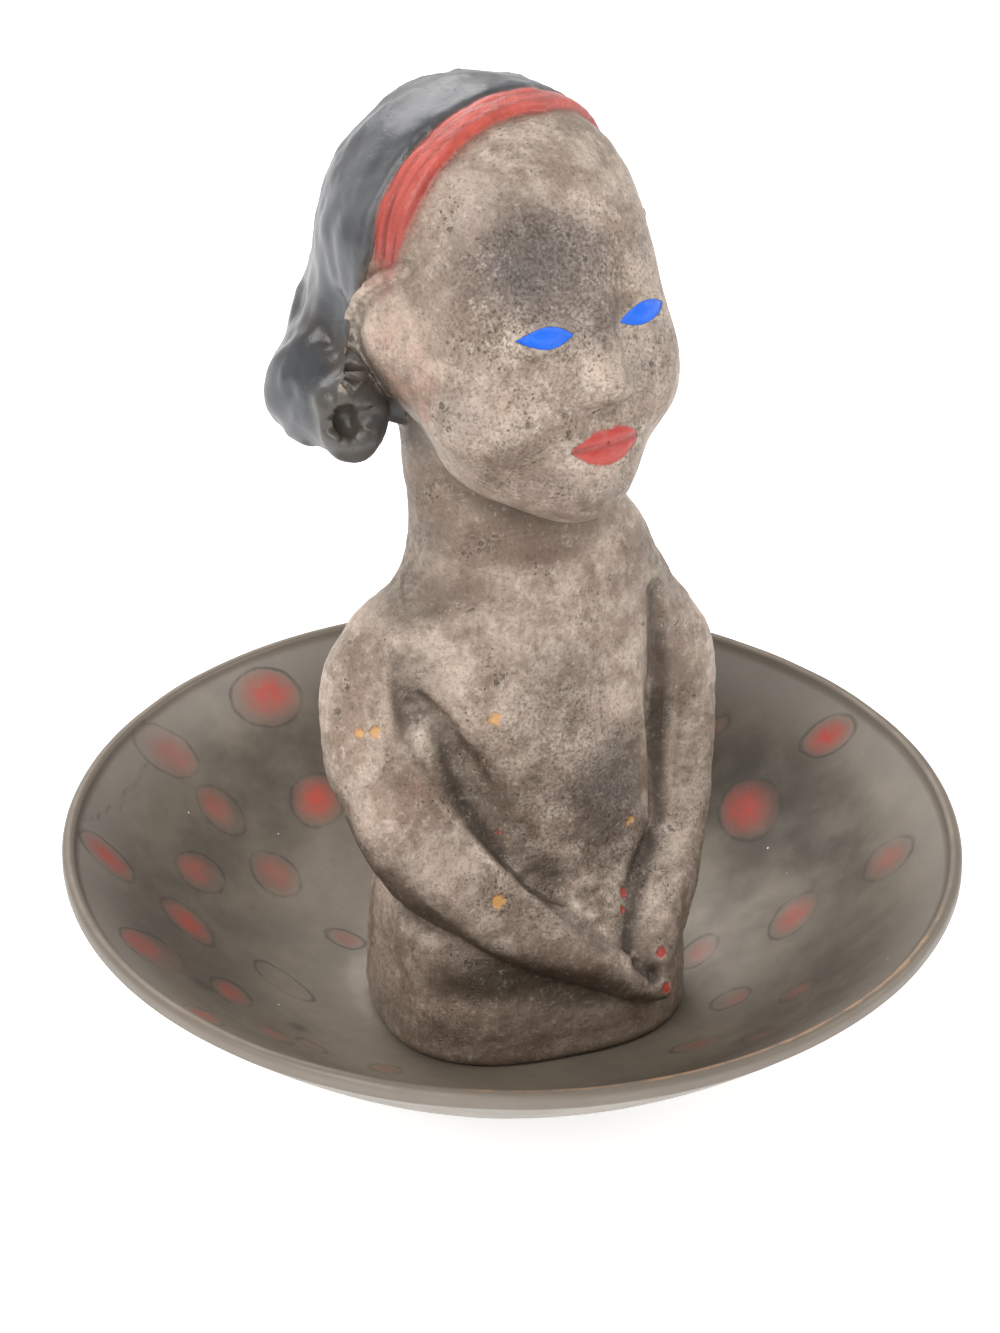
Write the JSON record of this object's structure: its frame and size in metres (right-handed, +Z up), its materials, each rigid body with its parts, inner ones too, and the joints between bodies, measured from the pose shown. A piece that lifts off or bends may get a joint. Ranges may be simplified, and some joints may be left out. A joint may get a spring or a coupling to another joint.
{
  "type": "bronze girl sculpture",
  "caption": "Painted bronze half-figure of a girl with a headband, arms along the body and hands clasped, standing in a wide shallow bronze dish.",
  "frame": {"origin": "centre of the dish's flat underside, on the surface that it stands on", "axes": "+Z up along the dish's axis; the girl's chest faces -Y, and +X is to the girl's left"},
  "size_m": [0.36, 0.36, 0.3834],
  "materials": {
    "dish_bronze": "cast bronze, dark olive-brown patina with painted red spots, rim worn bright",
    "figure_bronze": "cast bronze, pitted grey-brown patina, painted hair, headband, eyes and lips"
  },
  "bodies": {
    "root": {"dish": "dish_bronze", "girl_figure": "figure_bronze"}
  },
  "joints": []
}
